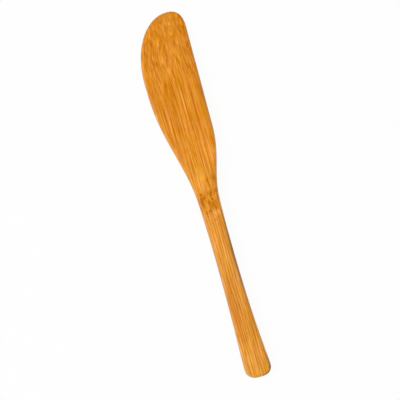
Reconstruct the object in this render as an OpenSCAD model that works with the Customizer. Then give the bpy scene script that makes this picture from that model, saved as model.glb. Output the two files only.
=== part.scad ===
// Bamboo spatula, carved from a single strip of bamboo.
// The strip is sawn to an outline with a curved belly edge and a nearly straight spine edge, thinned on its
// front towards the tip, rounded along every edge and planed flat on its back.
// Y runs from the butt to the tip, X points to the spine, Z is up, and the back lies on Z = 0.
// Along the length, a distance is always counted from the tip.

/* [Strip] */
// Length from the tip to the butt
overall_length = 190; // [170:1:240]
// Thickness of the strip along the handle
strip_thickness = 5.6; // [4.5:0.1:8]
// Height of the widest line of the handle's edges above the back
handle_edge_height = 2.6; // [1.8:0.1:3.6]

/* [Blade outline] */
// Distance from the tip to the neck, where both shoulders have run out
blade_length = 97.5; // [88:0.5:115]
// Sideways offset of the foremost point of the tip, towards the spine
tip_offset = 5.2; // [0:0.1:8]
// Reach of the belly edge from the handle's axis
belly_reach = 15.1; // [10:0.1:20]
// Distance over which the belly edge swings out to its full reach
belly_run = 32; // [22:0.5:40]
// Length of the shoulder that leads the belly edge into the neck
belly_shoulder = 61; // [40:0.5:64]
// Reach of the spine edge from the handle's axis
spine_reach = 13.2; // [10:0.1:18]
// Distance over which the tip turns into the spine edge
spine_corner = 10; // [6:0.5:16]
// Squareness of that turn, where 2 is an ellipse
corner_squareness = 2.6; // [2:0.1:4]
// How far the spine edge draws in between its corner and its shoulder
spine_draw_in = 0.9; // [0:0.1:2]
// Length of the shoulder that leads the spine edge into the neck
spine_shoulder = 36.5; // [24:0.5:60]

/* [Blade thickness] */
// Length of the front that is thinned towards the tip
taper_length = 46; // [30:1:70]
// Thickness of the blade at the tip
tip_thickness = 1.4; // [1:0.1:3]
// Height of the edge line above the back at the tip
tip_edge_height = 0.6; // [0.4:0.1:0.9]
// Length of the rounding at the very tip
tip_round = 1.2; // [0.6:0.1:2]
// Width of the rounding along the belly edge, at the tip
belly_round = 0.8; // [0.5:0.1:4]
// Width of the rounding along the spine edge, at the tip
spine_round = 0.8; // [0.5:0.1:4]

/* [Handle] */
// Width of the neck
neck_width = 11.1; // [9:0.1:14]
// Width of the handle at its waist
waist_width = 10.1; // [8:0.1:13]
// Distance from the neck to the waist
waist_run = 29; // [20:0.5:40]
// Width of the flared butt
butt_width = 13.6; // [11:0.1:17]
// Sideways sweep of the butt, towards the spine
butt_sweep = 0.6; // [0:0.1:2]
// Length of the rounded end of the butt
butt_round = 7; // [4:0.1:10]
// Squareness of the rounded end, where 2 is an ellipse
butt_squareness = 2.6; // [2:0.1:4]
// Length over which the faces round down to the butt's end
butt_face_round = 2.4; // [1:0.1:4]
// Width of the rounding along the handle's edge on the belly side
handle_belly_round = 2.1; // [0.5:0.1:3.5]
// Width of the rounding along the handle's edge on the spine side
handle_spine_round = 1.2; // [0.5:0.1:3.5]
// Width of the rounding around the back
back_round = 1.1; // [0.5:0.1:2]

/* [Hidden] */
bamboo_colour = [0.86, 0.57, 0.21];
// Depth that the plane takes off the back
planing_depth = 0.05;
// Share of the width that a rounding may take where the strip is narrow
widest_rounding = 0.45;
// Steps in a rounding, in the tip, in the butt's end, and the spacing of the sections between them
arc_steps = 6;
tip_steps = 16;
butt_steps = 9;
section_spacing = 3.2;

waist_distance = blade_length + waist_run;
butt_distance = overall_length - butt_round;
belly_shoulder_start = blade_length - belly_shoulder;
spine_shoulder_start = blade_length - spine_shoulder;
blade_width = belly_reach + spine_reach;
// Moves the outline from the handle's axis to the middle of the blade's width
middle_shift = (belly_reach - spine_reach) / 2;

function limit(value) = min(1, max(0, value));
function mix(from, to, share) = from + (to - from) * share;
function ease(share) = (1 - cos(180 * limit(share))) / 2;
// Falls from 1 to 0 like a quarter of an ellipse, or squarer with a higher power
function round_off(share, power = 2) = pow(1 - pow(limit(share), power), 1 / power);

// Half the handle's width: two parabolas that meet at the waist
function handle_half(distance) =
    distance < waist_distance
    ? mix(waist_width, neck_width, pow((waist_distance - distance) / waist_run, 2)) / 2
    : mix(waist_width, butt_width, pow((distance - waist_distance) / (butt_distance - waist_distance), 2)) / 2;

function handle_end(distance) = round_off((distance - butt_distance) / butt_round, butt_squareness);
function handle_middle(distance) =
    butt_sweep * pow(limit((distance - waist_distance) / (overall_length - waist_distance)), 3);

// The belly edge swings out from the tip on a quarter ellipse, then eases into the handle
function belly_edge(distance) =
    let (swing = mix(tip_offset, -belly_reach, round_off(1 - distance / belly_run)))
    let (handle = handle_middle(distance) - handle_half(distance) * handle_end(distance))
    mix(swing, handle, ease((distance - belly_shoulder_start) / belly_shoulder));

// The spine edge turns a tight corner, runs nearly straight, then eases into the handle
function spine_edge(distance) =
    let (straight = spine_reach - spine_draw_in
        * limit((distance - spine_corner) / (spine_shoulder_start - spine_corner)))
    let (turn = mix(tip_offset, straight, round_off(1 - distance / spine_corner, corner_squareness)))
    let (handle = handle_middle(distance) + handle_half(distance) * handle_end(distance))
    mix(turn, handle, ease((distance - spine_shoulder_start) / spine_shoulder));

// 0 at the tip and 1 where the front reaches the full thickness of the strip
function fullness(distance) = 1 - pow(1 - limit(distance / taper_length), 2);
// 1 along the strip, and 0 at the tip and at the butt, where the faces meet
function face_end(distance) =
    round_off(1 - distance / tip_round) * round_off(1 - (overall_length - distance) / butt_face_round);
function front_height(distance) = mix(tip_thickness, strip_thickness, fullness(distance));
function edge_height(distance) = mix(tip_edge_height, handle_edge_height, fullness(distance));

// Points of a quarter ellipse round a middle, from one angle on
function quarter(middle, reach, from, first = 0, last = arc_steps) = [
    for (step = [first:last])
        let (angle = from + 90 * step / arc_steps)
        [middle[0] + reach[0] * cos(angle), middle[1] + reach[1] * sin(angle)]
];

// The section at one distance, as points in X and Z, counterclockwise from the spine edge
function section(distance) =
    let (belly = belly_edge(distance), spine = spine_edge(distance), edge = edge_height(distance))
    let (front = (front_height(distance) - edge) * face_end(distance))
    let (back = (edge + planing_depth) * face_end(distance))
    let (widest = widest_rounding * (spine - belly), handle_share = ease(distance / blade_length))
    let (belly_side = min(widest, mix(belly_round, handle_belly_round, handle_share)))
    let (spine_side = min(widest, mix(spine_round, handle_spine_round, handle_share)))
    let (back_side = min(widest, back_round))
    concat(
        quarter([spine - spine_side, edge], [spine_side, front], 0),
        quarter([belly + belly_side, edge], [belly_side, front], 90),
        quarter([belly + back_side, edge], [back_side, back], 180, first = 1),
        quarter([spine - back_side, edge], [back_side, back], 270, last = arc_steps - 1)
    );

function place(distance, point) = [point[0] + middle_shift, overall_length / 2 - distance, point[1]];

// Distances of the sections, closer together where the ends curve in
body_steps = ceil((butt_distance - belly_run) / section_spacing);
distances = concat(
    [for (step = [1:tip_steps]) belly_run * pow(step / tip_steps, 2)],
    [for (step = [1:body_steps]) mix(belly_run, butt_distance, step / body_steps)],
    [for (step = [butt_steps - 1:-1:1]) overall_length - butt_round * pow(step / butt_steps, 2)]
);

// The rounded strip before its back is planed: a skin over the sections, closed at the tip and at the butt
module carved_strip() {
    around = len(section(belly_run));
    last = len(distances) - 1;
    tip_point = place(0, [tip_offset, tip_edge_height]);
    butt_point = place(overall_length, [handle_middle(overall_length), handle_edge_height]);
    points = concat(
        [tip_point],
        [for (distance = distances, point = section(distance)) place(distance, point)],
        [butt_point]
    );
    butt_index = len(points) - 1;
    function index(row, column) = 1 + row * around + column % around;
    tip_faces = [for (column = [0:around - 1]) [0, index(0, column), index(0, column + 1)]];
    butt_faces = [for (column = [0:around - 1]) [butt_index, index(last, column + 1), index(last, column)]];
    side_faces = [
        for (row = [0:last - 1], column = [0:around - 1])
            each [
                [index(row, column), index(row + 1, column), index(row + 1, column + 1)],
                [index(row, column), index(row + 1, column + 1), index(row, column + 1)]
            ]
    ];
    polyhedron(points = points, faces = concat(tip_faces, side_faces, butt_faces));
}

module spatula() {
    color(bamboo_colour)
        difference() {
            carved_strip();
            // The plane, which leaves the back flat
            translate([0, 0, -strip_thickness / 2])
                cube([2 * blade_width, 2 * overall_length, strip_thickness], center = true);
        }
}

spatula();
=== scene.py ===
import math

import bpy
import numpy as np
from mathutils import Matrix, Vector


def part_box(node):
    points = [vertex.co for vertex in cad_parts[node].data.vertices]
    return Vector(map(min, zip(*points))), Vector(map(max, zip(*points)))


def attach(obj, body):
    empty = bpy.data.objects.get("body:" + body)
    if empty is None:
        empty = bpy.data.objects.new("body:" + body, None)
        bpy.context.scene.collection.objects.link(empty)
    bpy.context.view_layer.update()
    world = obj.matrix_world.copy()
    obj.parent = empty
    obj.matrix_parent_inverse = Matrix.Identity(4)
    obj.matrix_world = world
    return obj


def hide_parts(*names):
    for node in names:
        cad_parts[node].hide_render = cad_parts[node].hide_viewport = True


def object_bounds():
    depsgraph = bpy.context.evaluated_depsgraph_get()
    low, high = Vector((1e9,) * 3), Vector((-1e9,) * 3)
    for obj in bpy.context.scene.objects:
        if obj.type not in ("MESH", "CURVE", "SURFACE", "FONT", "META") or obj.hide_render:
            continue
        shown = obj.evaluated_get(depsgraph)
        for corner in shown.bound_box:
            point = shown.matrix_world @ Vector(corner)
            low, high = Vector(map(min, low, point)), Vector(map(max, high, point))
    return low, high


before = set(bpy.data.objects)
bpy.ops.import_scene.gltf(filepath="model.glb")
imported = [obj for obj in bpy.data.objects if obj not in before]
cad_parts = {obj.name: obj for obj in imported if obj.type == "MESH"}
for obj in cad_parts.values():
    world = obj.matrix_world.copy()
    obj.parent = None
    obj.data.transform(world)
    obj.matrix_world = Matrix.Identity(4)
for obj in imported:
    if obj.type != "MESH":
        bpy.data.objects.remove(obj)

cad_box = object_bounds()

# The spatula is one strip from the wall of a bamboo culm: blade, neck and handle are the same piece of wood.
# It is sawn to its outline, thinned on the front towards the tip, planed flat on the back, and its edges are
# rounded and sanded by hand.
MM = 0.001
ring_points = 64
ring_count = 160
# Half the height of the rings before they are pressed onto the solid, more than the strip is thick
ring_lift = 12 * MM
tolerance = 0.001 * MM

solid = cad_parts["spatula"]
butt_y, tip_y = (corner[1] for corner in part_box("spatula"))
corners = np.array([vertex.co for vertex in solid.data.vertices])
edges = corners[np.array([edge.vertices for edge in solid.data.edges])]


def section(y):
    """The middle, half width and edge height of the strip at one place along its length."""
    first, second = edges[:, 0], edges[:, 1]
    crossing = (first[:, 1] - y) * (second[:, 1] - y) < 0
    first, second = first[crossing], second[crossing]
    share = (y - first[:, 1]) / (second[:, 1] - first[:, 1])
    points = first + share[:, None] * (second - first)
    belly, spine = points[points[:, 0].argmin()], points[points[:, 0].argmax()]
    return (belly[0] + spine[0]) / 2, (spine[0] - belly[0]) / 2, (belly[2] + spine[2]) / 2


# Places of the rings along the strip, closer together at both ends
strip_middle, half_strip = (tip_y + butt_y) / 2, (tip_y - butt_y) / 2
stations = [
    strip_middle - half_strip * math.cos(math.pi * step / ring_count) for step in range(1, ring_count)
]
middle, half_width, edge_height = section(stations[0])
# Turns a ring so that no point lies on the outline itself, where a press along Z would miss the solid
half_step = math.pi / ring_points

bpy.ops.object.select_all(action="DESELECT")
bpy.ops.mesh.primitive_circle_add(vertices=ring_points, radius=1, rotation=(math.pi / 2, half_step, 0))
spatula = bpy.context.object
spatula.name = "carved_spatula"
bpy.ops.object.transform_apply(location=True, rotation=True, scale=True)
bpy.ops.object.mode_set(mode="EDIT")
bpy.ops.mesh.select_all(action="SELECT")
bpy.ops.transform.resize(value=(half_width, 1, ring_lift))
bpy.ops.transform.translate(value=(middle, stations[0], edge_height))
for last_y, y in zip(stations, stations[1:]):
    last = middle, half_width, edge_height
    middle, half_width, edge_height = section(y)
    step = (middle - last[0], y - last_y, edge_height - last[2])
    bpy.ops.mesh.extrude_region_move(TRANSFORM_OT_translate={"value": step})
    bpy.ops.transform.resize(value=(half_width / last[1], 1, 1), center_override=(middle, y, edge_height))
bpy.ops.mesh.extrude_region_move(TRANSFORM_OT_translate={"value": (0, tip_y - stations[-1], 0)})
bpy.ops.mesh.merge(type="CENTER")
bpy.ops.object.mode_set(mode="OBJECT")
for vertex in spatula.data.vertices:
    vertex.select = vertex.co.y < stations[0] + tolerance
bpy.ops.object.mode_set(mode="EDIT")
bpy.ops.mesh.extrude_region_move(TRANSFORM_OT_translate={"value": (0, butt_y - stations[0], 0)})
bpy.ops.mesh.merge(type="CENTER")
bpy.ops.mesh.select_all(action="SELECT")
bpy.ops.mesh.normals_make_consistent(inside=False)
bpy.ops.object.mode_set(mode="OBJECT")

press = spatula.modifiers.new("press onto the carved form", "SHRINKWRAP")
press.target = solid
press.wrap_method = "PROJECT"
press.use_project_z = True
press.use_positive_direction = True
press.use_negative_direction = True
sand = spatula.modifiers.new("sand", "SMOOTH")
sand.factor = 0.5
sand.iterations = 2
round_over = spatula.modifiers.new("round over", "SUBSURF")
round_over.levels = round_over.render_levels = 1
for modifier in list(spatula.modifiers):
    bpy.ops.object.modifier_apply(modifier=modifier.name)
bpy.ops.object.shade_smooth()

bamboo = bpy.data.materials.new("carbonised_bamboo")
bamboo.use_nodes = True
tree = bamboo.node_tree


def add_node(kind, inputs, **settings):
    """A node in the tree at hand. Each input is a value, or the socket that feeds it."""
    node = tree.nodes.new("ShaderNode" + kind)
    for name, value in settings.items():
        setattr(node, name, value)
    for name, value in inputs.items():
        if isinstance(value, bpy.types.NodeSocket):
            tree.links.new(value, node.inputs[name])
        else:
            node.inputs[name].default_value = value
    return node


def math_node(operation, *values):
    return add_node("Math", dict(enumerate(values)), operation=operation).outputs[0]


def noise(vector, scale, detail=2):
    """Noise from about 0 to 1, with its own scale along each axis, per millimetre."""
    stretched = add_node("Mapping", {"Vector": vector, "Scale": scale}).outputs[0]
    return add_node("TexNoise", {"Vector": stretched, "Scale": 1, "Detail": detail}).outputs[0]


def ripple(vector, scale, detail=1):
    """The same noise, from about -0.5 to 0.5."""
    return math_node("SUBTRACT", noise(vector, scale, detail), 0.5)


def smooth_range(value, start, end, low=0, high=1):
    inputs = {"Value": value, "From Min": start, "From Max": end, "To Min": low, "To Max": high}
    return add_node("MapRange", inputs, interpolation_type="SMOOTHSTEP").outputs[0]


surface = add_node("TexCoord", {}).outputs
place = add_node("VectorMath", {0: surface["Object"], "Scale": 1 / MM}, operation="SCALE").outputs[0]
x, y, z = add_node("SeparateXYZ", {0: place}).outputs
to_spine, to_tip, to_front = add_node("SeparateXYZ", {0: surface["Normal"]}).outputs

# Stretches of the strip, each from 0 to 1: the culm node at the neck, the handle below it, and the blade
# behind the thinned tip, which reaches further down on the belly side
node_y = -2.5
node_half = 5
from_node = math_node("DIVIDE", math_node("SUBTRACT", y, node_y), node_half)
at_node = math_node("EXPONENT", math_node("MULTIPLY", math_node("MULTIPLY", from_node, from_node), -1))
near_node = math_node("POWER", at_node, 0.3)
on_handle = smooth_range(y, 0, -10)
down_handle = smooth_range(y, 20, -40)
tip_line = math_node("SUBTRACT", y, smooth_range(x, -4, 10, 0, 8))
off_tip = smooth_range(tip_line, 68, 54)

# Layers of the culm wall, which curve round the culm, wander a little and get tangled at the node. Near
# the tip the grain bends to the belly.
culm_radius = 45
culm_middle = 3
aside = math_node("SUBTRACT", x, culm_middle)
rise = math_node("DIVIDE", math_node("MULTIPLY", aside, aside), 2 * culm_radius)
wander = ripple(place, (0.12, 0.025, 0.12), 2)
tangle = math_node("MULTIPLY", ripple(place, (0.5, 0.35, 0.5), 2), near_node)
layer = math_node("SUBTRACT", z, rise)
layer = math_node("MULTIPLY_ADD", at_node, 1.6, layer)
layer = math_node("MULTIPLY_ADD", wander, 0.8, layer)
layer = math_node("MULTIPLY_ADD", tangle, 2, layer)
bend = math_node("MULTIPLY", smooth_range(y, 70, 100), smooth_range(x, 6, -6, -1, -8))
across = math_node("ADD", x, bend)
across = math_node("MULTIPLY_ADD", wander, 1.2, across)
across = math_node("MULTIPLY_ADD", tangle, 1.6, across)
grain_place = add_node("CombineXYZ", {0: across, 1: y, 2: layer}).outputs[0]

# Fibre bundles, long threads that the faces cut lengthwise and the ends cut across. Each one has its own
# tone, which fades along its length.
bundle_width = 1.1
bundle_depth = 0.7
cell = add_node("CombineXYZ", {
    0: math_node("DIVIDE", across, bundle_width),
    1: math_node("DIVIDE", layer, bundle_depth),
}).outputs[0]
bundles = add_node("TexVoronoi", {"Vector": cell, "Scale": 1}, voronoi_dimensions="2D").outputs
bundle = smooth_range(bundles["Distance"], 0.5, 0.15)
kind = add_node("SeparateColor", {0: bundles["Color"]}).outputs[0]
along = add_node("CombineXYZ", {
    0: math_node("MULTIPLY", kind, 50),
    1: math_node("MULTIPLY", y, 0.06),
}).outputs[0]
fading = add_node("TexNoise", {"Vector": along, "Scale": 1, "Detail": 1}, noise_dimensions="2D").outputs[0]
tone = math_node("MULTIPLY", math_node("SUBTRACT", kind, 0.55), smooth_range(fading, 0.3, 0.7, 0.5, 1.3))
toned_bundle = math_node("MULTIPLY", bundle, tone)

# Finer and broader grain: single fibres, strands of them, hairs, pores, the flecks that thinning leaves
# near the tip, the even threads between the bundles, flat layers, and bands of darker and paler wood
fibres = ripple(grain_place, (1.6, 0.03, 1.2))
strands = ripple(grain_place, (2.2, 0.1, 1))
hairs = ripple(grain_place, (6, 0.08, 6), 2)
pores = smooth_range(noise(grain_place, (4.5, 0.3, 4.5), 0), 0.62, 0.72)
flecks = ripple(grain_place, (1.1, 0.2, 1.6))
drift = math_node("MULTIPLY", noise(grain_place, (0.35, 0.03, 0.35), 1), 12)
fine_threads = math_node("SINE", math_node("MULTIPLY_ADD", across, 5.2, drift))
broad_threads = math_node("SINE", math_node("MULTIPLY_ADD", across, 3.4, drift))
layers = ripple(grain_place, (0.2, 0.02, 2))
bands = ripple(grain_place, (0.3, 0.012, 0.4))

# Mottled brown stain of the node, and the end grain, where the bundles show as dark dots
mottle = noise(place, (0.5, 0.4, 0.5), 3)
node_stain = math_node("MULTIPLY", at_node, smooth_range(mottle, 0.1, 0.9))
end_grain = smooth_range(math_node("ABSOLUTE", to_tip), 0.6, 0.95)
end_dots = math_node("MULTIPLY", math_node("MULTIPLY_ADD", bundle, -0.5, 0.1), end_grain)

# Marks that stand out on the front of this piece, dark ones below zero and pale ones above. Each one has its
# distance from the tip, its offset from the handle's axis, its half length, its half width and its strength.
handle_axis = 0.95
# How far the soft rim of a mark reaches, in half sizes of the mark
rim_reach = 1.3


def spot(distance, offset, half_length, half_width):
    """1 in the middle of a long spot, falling to 0 a little outside it."""
    scale = (1 / half_width, 1 / half_length, 0)
    shift = (-(handle_axis + offset) / half_width, (distance - tip_y / MM) / half_length, 0)
    away = add_node("VectorMath", {0: place, 1: scale, 2: shift}, operation="MULTIPLY_ADD").outputs[0]
    away = add_node("VectorMath", {0: away}, operation="LENGTH").outputs["Value"]
    return smooth_range(away, rim_reach, 0)


marks = [
    # Flecks near the tip
    (4, 11.2, 1.5, 1.3, -0.3), (4.3, 1, 1.3, 1, -0.35), (5.6, -3, 2, 1.2, 0.25), (6.1, 5.5, 1.6, 0.9, 0.35),
    (9.1, -2.2, 2.2, 0.7, -0.3), (10.1, -6.1, 1.6, 1, 0.35), (11.2, 4.8, 1.3, 0.8, 0.3),
    (11.4, -4, 2.2, 0.7, -0.3), (13.6, -6.3, 2.4, 0.7, -0.35), (14.1, -2.9, 2.5, 0.7, 0.25),
    (15.2, 7.1, 1.6, 0.8, -0.25), (16.9, 5.1, 2, 0.8, -0.35), (18.2, -10.4, 2.2, 1, -0.45),
    (18.4, 11.4, 2, 1.2, -0.35), (20.7, 4.8, 2, 1.5, 0.2), (21, -7.3, 2.6, 0.8, 0.35),
    (23.5, -3, 2.5, 0.9, 0.4), (24.3, -6.3, 1.6, 0.7, -0.45), (24.8, 4, 1.8, 0.7, -0.35),
    (29.3, 8.6, 3, 1, -0.25), (30.3, -1.5, 4, 0.8, 0.35), (30.8, 0.4, 3, 0.6, -0.4),
    (35.4, -5, 3, 0.6, -0.45), (36.5, -2, 2.5, 0.5, -0.3),
    # Broad patches of the blade
    (25, -7, 7, 4, -0.09), (25, 2, 8, 3.5, 0.07), (37, 8, 9, 3.5, 0.1), (55.5, -9, 7, 3.5, 0.08),
    (55.5, 9, 7, 3, -0.12), (75.5, 6, 8, 4, 0.22), (80, -6, 11, 2.4, -0.13),
    # Dark bundles of the blade
    (20, 10.8, 14, 2.6, -0.17), (40, 3.7, 9, 0.3, -0.3), (43, 11.5, 5, 0.7, -0.25),
    (45, 11.1, 16, 0.8, -0.18), (47, 6.3, 17, 0.3, -0.3), (50, -10.9, 8, 0.3, -0.25),
    (50, -3.8, 14, 2.4, -0.1), (52, 9.2, 22, 0.3, -0.28), (54, -9.4, 17, 0.3, -0.35),
    (57, -7.1, 20, 0.3, -0.3), (57, 0.5, 9, 0.3, -0.2), (57, 3.5, 7, 0.5, -0.2), (69.5, 9.2, 6, 0.3, -0.3),
    (71, 3.6, 14, 0.4, -0.3), (76, 5.8, 9, 0.35, -0.3), (77.5, 2.3, 10, 0.35, -0.32),
    (79, -3.3, 7, 0.7, -0.3),
    # Pale bundles of the blade
    (41, 4.7, 8, 0.4, 0.35), (48, 1.4, 14, 0.35, 0.35), (48.5, 2.6, 8, 0.45, 0.3), (56, 7.1, 10, 0.4, 0.2),
    (59, -0.8, 7, 0.4, 0.4), (60, -8.2, 8, 0.4, 0.25), (72, 7.6, 7, 0.5, 0.3), (73, 4.6, 13, 0.45, 0.35),
    (78, -4.7, 6, 0.5, 0.35), (80, 0.6, 9, 0.6, 0.15), (81, 2.8, 7, 0.4, 0.28), (86.5, 0.3, 3.5, 0.6, 0.3),
    (88, -2.5, 5, 0.35, 0.35), (88, -1, 4.5, 0.35, 0.35),
    # Dots and patches of the node
    (85, -3.8, 5, 0.25, -0.18), (86, -1.8, 6, 0.25, -0.22), (86.5, -1.5, 7.5, 3.8, 0.2),
    (87, 0, 5, 0.25, -0.18), (87, 5.3, 2.2, 1.3, -0.45), (87.6, 1.8, 1.2, 0.6, -0.4),
    (92, -5.3, 9, 0.9, 0.3), (93.3, 4.8, 1.4, 1, -0.45), (93.6, -3.1, 0.9, 0.8, -0.7),
    (94.3, 1.9, 1.5, 0.8, -0.6), (95.4, -1.9, 1.1, 0.6, -0.7), (96, 3.8, 1.7, 0.7, 0.4),
    (97, 2, 0.7, 0.7, -0.9), (97, 4.8, 1.3, 0.45, -0.4), (97.2, -3.6, 3.2, 1, -0.45),
    (98.3, -1.3, 2.7, 0.4, 0.45), (98.5, -0.1, 1.7, 1, -0.5), (99, 5.4, 6, 1, 0.25),
    (100.2, 2.2, 2.8, 2.2, -0.3), (102, 3.3, 1.5, 1.2, -0.25), (102.7, -0.8, 1.1, 0.9, -0.45),
    (104.2, 2.5, 1.8, 1.8, 0.3), (107.6, 0.5, 1.1, 0.6, -0.4), (117.2, -1.6, 3, 0.8, 0.25),
    # Bundles and patches of the handle
    (127, 0.5, 9, 0.55, 0.25), (139.5, -0.2, 6, 0.45, -0.25), (148, -2.5, 17, 4, -0.2),
    (161, -4.2, 12, 1, -0.2), (162, 3.5, 19, 1.5, -0.18), (166, 1.1, 4, 0.4, -0.3),
    (166.5, -5.9, 6, 0.7, 0.3), (168, 3.6, 8, 0.45, -0.25), (172, 0, 4, 0.5, 0.4), (177, -6, 7, 0.8, -0.2),
    (178, 1.8, 6, 0.5, 0.2), (180, -1.5, 9, 3.5, 0.12), (181.5, 1.1, 7, 0.35, -0.1),
    (187.5, 1.2, 2, 0.5, 0.3),
]
all_marks = 0
for *extent, strength in marks:
    all_marks = math_node("MULTIPLY_ADD", spot(*extent), strength, all_marks)
front_marks = math_node("MULTIPLY", all_marks, smooth_range(to_front, 0, 0.6))


def by_stretch(tip, blade, handle):
    """A strength that eases from the tip to the blade, and from there to the handle."""
    eased = math_node("MULTIPLY_ADD", off_tip, blade - tip, tip)
    return math_node("MULTIPLY_ADD", on_handle, handle - blade, eased)


# The shade of the wood, from 0, dark, to 1, pale: each kind of grain with its strength
middle_shade = 0.5
shade = middle_shade
for grain, strength in (
    (toned_bundle, by_stretch(0.4, 0.4, 0.12)),
    (fibres, by_stretch(0.5, 0.85, 0.65)),
    (strands, by_stretch(0.75, 0.75, 1)),
    (flecks, smooth_range(tip_line, 61, 49, 0.8, 0)),
    (hairs, by_stretch(0.5, 0.55, 0.65)),
    (pores, -0.25),
    (fine_threads, by_stretch(0.03, 0.03, 0.2)),
    (broad_threads, by_stretch(0.01, 0.07, 0)),
    (layers, by_stretch(0.25, 0.1, 0.1)),
    (bands, 0.15),
    (node_stain, -0.4),
    (end_dots, 1),
    (front_marks, 1),
):
    shade = math_node("MULTIPLY_ADD", grain, strength, shade)
toward_neck = smooth_range(y, 60, 15, -0.02, 0.08)
toward_tip = smooth_range(y, 75, 90, 0, -0.04)
shade = math_node("ADD", math_node("ADD", toward_neck, toward_tip), shade)

# Colours of the wood, in patches that are a little redder or yellower, stronger or paler. The dark spots
# of the node are a stronger brown. A tint has the place and size of a mark, then how much yellower and
# stronger it is.
dark_fibre = (0.5, 0.135, 0, 1)
honey = (0.742, 0.262, 0.0165, 1)
pale_fibre = (1, 0.42, 0.073, 1)
tints = [
    (55, 2, 9, 9, -0.003, 0.006), (84, 2, 9, 11, 0.005, 0), (106, -2, 6, 6, 0, -0.015),
    (133, 3.5, 16, 3, 0.002, -0.022), (155, -3, 18, 4, -0.006, 0), (167, -1, 6, 7, 0, 0.012),
    (186, -2, 8, 6, 0.003, 0),
]
colours = add_node("ValToRGB", {0: shade})
stops = colours.color_ramp.elements
stops[0].color = dark_fibre
stops[1].color = pale_fibre
stops.new(middle_shade).color = honey
spotted = math_node("MULTIPLY", smooth_range(shade, 0.45, 0), at_node)
hue = smooth_range(noise(grain_place, (0.35, 0.08, 0.35)), 0.25, 0.75, 0.4965, 0.5035)
hue = math_node("MULTIPLY_ADD", down_handle, 0.004, hue)
hue = math_node("MULTIPLY_ADD", spotted, -0.004, hue)
saturation = smooth_range(noise(grain_place, (0.3, 0.15, 0.3)), 0.25, 0.75, 0.986, 1.014)
saturation = math_node("MULTIPLY_ADD", down_handle, -0.02, saturation)
saturation = math_node("MULTIPLY_ADD", spotted, 0.03, saturation)
for *extent, yellower, stronger in tints:
    tint = spot(*extent)
    hue = math_node("MULTIPLY_ADD", tint, yellower, hue)
    saturation = math_node("MULTIPLY_ADD", tint, stronger, saturation)

# Painted shade on the spine edge, the side away from the lamp, round the handle's waist, and deeper and
# greyer at the butt's corner
waist_y = -34
corner_shade_depth = 2.2
from_waist = math_node("ABSOLUTE", math_node("SUBTRACT", y, waist_y))
painted_shade_waist = math_node("MULTIPLY", smooth_range(to_spine, 0, 0.35), smooth_range(from_waist, 28, 6))
flatness = math_node("ABSOLUTE", to_front)
painted_shade_corner = math_node("MULTIPLY", smooth_range(flatness, 0.98, 0.6), spot(188, 6, 8, 4.5))
painted_spine_shade = math_node("MULTIPLY_ADD", painted_shade_corner, corner_shade_depth, painted_shade_waist)
# The painted shade varies a little along its length
painted_spine_shade = math_node("MULTIPLY", painted_spine_shade, smooth_range(noise(place, (0.1, 0.12, 0.1)), 0.3, 0.6, 0.5, 1.2))
value = math_node("MULTIPLY_ADD", down_handle, -0.03, 1)
# Painted shade darkens the spine edge
value = math_node("MULTIPLY_ADD", painted_spine_shade, -0.37, value)
# The painted shade at the butt's corner is also greyer
saturation = math_node("MULTIPLY_ADD", painted_shade_corner, -0.05, saturation)
tinted = {"Hue": hue, "Saturation": saturation, "Value": value, "Color": colours.outputs["Color"]}
tinted = add_node("HueSaturation", tinted).outputs[0]

# Rounded edges, rubbed a little yellower and greyer by use, and darkened by painted shade, more on the belly
# side than on the spine side
rim_wear_and_shade = math_node("MULTIPLY", smooth_range(flatness, 0.95, 0.5), smooth_range(flatness, 0, 0.4, 0.25, 1))
rubbed_hue = math_node("MULTIPLY_ADD", rim_wear_and_shade, 0.006, 0.5)
# Painted shade on the rounded edges, deeper on the belly side than on the spine side
rim_painted_shade = smooth_range(to_spine, 0, 0.5, 0.92, 0.97)
worn_and_shaded = {"Hue": rubbed_hue, "Saturation": 0.92, "Value": rim_painted_shade, "Fac": rim_wear_and_shade, "Color": tinted}
worn_and_shaded = add_node("HueSaturation", worn_and_shaded).outputs[0]

# Oiled and sanded finish, with a satin sheen and the grain just felt
relief = add_node("Bump", {"Height": shade, "Strength": 0.3, "Distance": 0.1 * MM}).outputs["Normal"]
polish = smooth_range(noise(grain_place, (0.8, 0.05, 0.8)), 0.3, 0.7, 0.36, 0.5)
oiled = tree.nodes["Principled BSDF"].inputs
oiled["Specular IOR Level"].default_value = 0.2
oiled["Specular Tint"].default_value = (1, 0.9, 0.4, 1)
oiled["Sheen Weight"].default_value = 0.1
oiled["Sheen Roughness"].default_value = 0.3
tree.links.new(worn_and_shaded, oiled["Base Color"])
tree.links.new(polish, oiled["Roughness"])
tree.links.new(relief, oiled["Normal"])
spatula.data.materials.append(bamboo)
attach(spatula, "root")
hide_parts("spatula")

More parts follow.
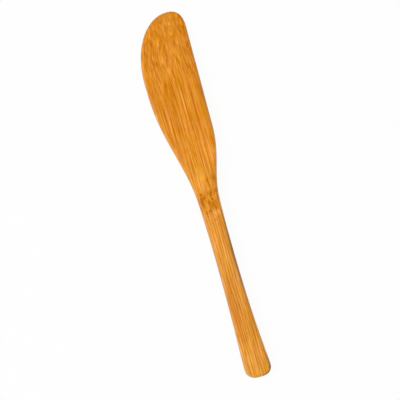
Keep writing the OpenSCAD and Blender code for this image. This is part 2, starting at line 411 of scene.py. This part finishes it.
# The floor is a plain white sheet of paper that the spatula lies on. The camera sees it as nearly white,
# and it keeps the spatula's soft shadow. From below it is clear.
floor_size = 6
floor_gap = 0.1 * MM
paper_white = (0.85, 0.85, 0.85, 1)
paper_glow = 0.94
bpy.ops.mesh.primitive_plane_add(size=floor_size, location=(0, 0, cad_box[0][2] - floor_gap))
floor = bpy.context.object
floor.name = "floor"
paper = bpy.data.materials.new("white_paper")
paper.use_nodes = True
tree = paper.node_tree
matte = tree.nodes["Principled BSDF"]
matte.inputs["Base Color"].default_value = paper_white
matte.inputs["Roughness"].default_value = 1
matte.inputs["Specular IOR Level"].default_value = 0
ray = add_node("LightPath", {}).outputs
mirrored = math_node("MAXIMUM", ray["Is Glossy Ray"], ray["Is Transmission Ray"])
seen = math_node("MAXIMUM", ray["Is Camera Ray"], mirrored)
glow = add_node("Emission", {}).outputs[0]
upper_side = {0: math_node("MULTIPLY", seen, paper_glow), 1: matte.outputs[0], 2: glow}
upper_side = add_node("MixShader", upper_side).outputs[0]
from_below = add_node("NewGeometry", {}).outputs["Backfacing"]
clear = add_node("BsdfTransparent", {}).outputs[0]
one_sided = add_node("MixShader", {0: from_below, 1: upper_side, 2: clear}).outputs[0]
tree.links.new(one_sided, tree.nodes["Material Output"].inputs["Surface"])
floor.data.materials.append(paper)

# The light is a large soft box on the belly's side of the tip, and an even white room around it.
lamp_place = (-0.78, 0.1, 0.90)
lamp_size = 0.7
lamp_power = 6.8
room_light = 0.68
scene = bpy.context.scene
room = bpy.data.worlds.new("room")
room.use_nodes = True
walls = room.node_tree.nodes["Background"].inputs
walls["Color"].default_value = (1, 1, 1, 1)
walls["Strength"].default_value = room_light
scene.world = room
bpy.ops.object.light_add(type="AREA", location=lamp_place)
soft_box = bpy.context.object
soft_box.name = "soft_box"
soft_box.data.size = lamp_size
soft_box.data.energy = lamp_power
soft_box.rotation_euler = (-soft_box.location).to_track_quat("-Z", "Y").to_euler()

# The camera looks straight down, turned so that the tip leans to the upper left of the square picture.
# Its scale holds at the height of the handle's edge line.
picture_size = 400
pixel = 0.5041 * MM
lean = math.radians(16)
origin_pixel = (205.75, 196.5)
edge_line = 2.6 * MM
lens = 135
sensor = 36
camera_data = bpy.data.cameras.new("camera")
camera_data.lens = lens
camera_data.sensor_width = sensor
camera = bpy.data.objects.new("camera", camera_data)
scene.collection.objects.link(camera)
scene.camera = camera
right = (origin_pixel[0] - picture_size / 2) * pixel
up = (picture_size / 2 - origin_pixel[1]) * pixel
camera.rotation_euler = (0, 0, -lean)
camera.location = (
    -right * math.cos(lean) - up * math.sin(lean),
    right * math.sin(lean) - up * math.cos(lean),
    edge_line + lens / sensor * picture_size * pixel,
)
scene.view_settings.view_transform = "Standard"
